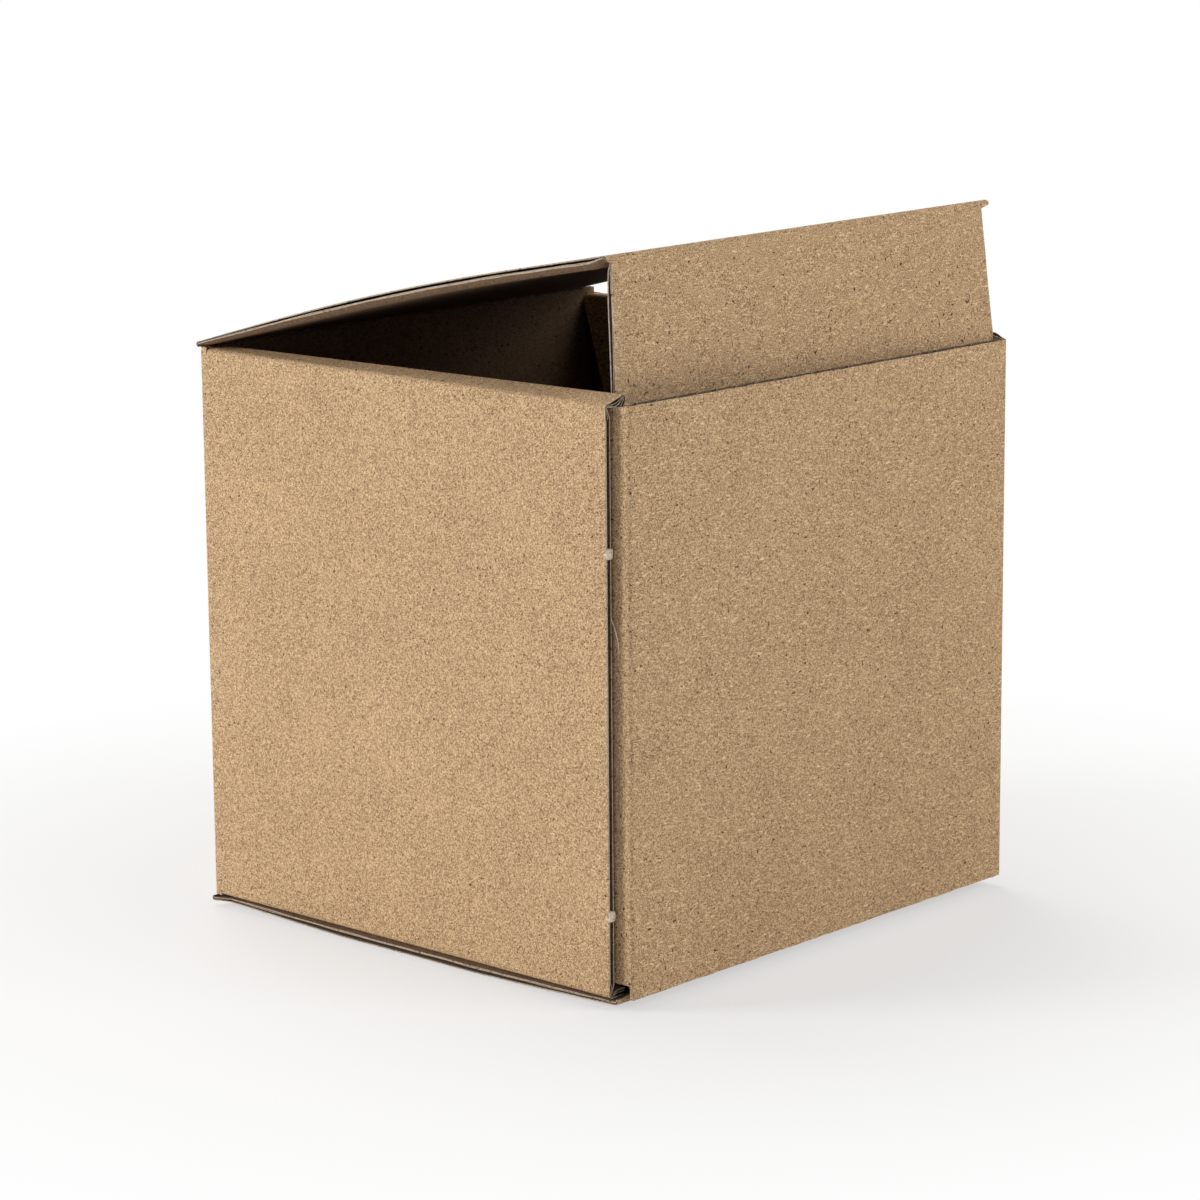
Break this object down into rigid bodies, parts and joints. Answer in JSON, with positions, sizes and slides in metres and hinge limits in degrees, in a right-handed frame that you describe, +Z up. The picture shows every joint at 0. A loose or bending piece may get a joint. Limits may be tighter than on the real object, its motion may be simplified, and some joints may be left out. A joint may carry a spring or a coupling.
{
  "type": "tuck-top cardboard box",
  "caption": "Small square corrugated cardboard box with a hinged tuck-in lid standing slightly ajar and a matching hinged bottom.",
  "frame": {"origin": "middle of the footprint, on the surface that the box stands on", "axes": "+Z up, the front wall with the tuck slot faces -Y, the glued seam is at the front left corner (-X, -Y), the lid is hinged along the back wall (+Y)"},
  "size_m": [0.132, 0.1284, 0.1609],
  "materials": {
    "kraft_board": "matt brown kraft liner with fine fibre speckle"
  },
  "bodies": {
    "box": {"box_body": "kraft_board"},
    "lid": {"lid": "kraft_board"},
    "bottom_lid": {"bottom_lid": "kraft_board"}
  },
  "joints": [
    {"name": "lid_hinge", "type": "hinge", "parent": "box", "child": "lid", "pos_m": [0, 0.06365, 0.1317], "axis": [-1, 0, 0], "range_deg": [-12.5, 160]},
    {"name": "bottom_lid_hinge", "type": "hinge", "parent": "box", "child": "bottom_lid", "pos_m": [0, 0.06365, 0.0019], "axis": [1, 0, 0], "range_deg": [0, 85]}
  ]
}
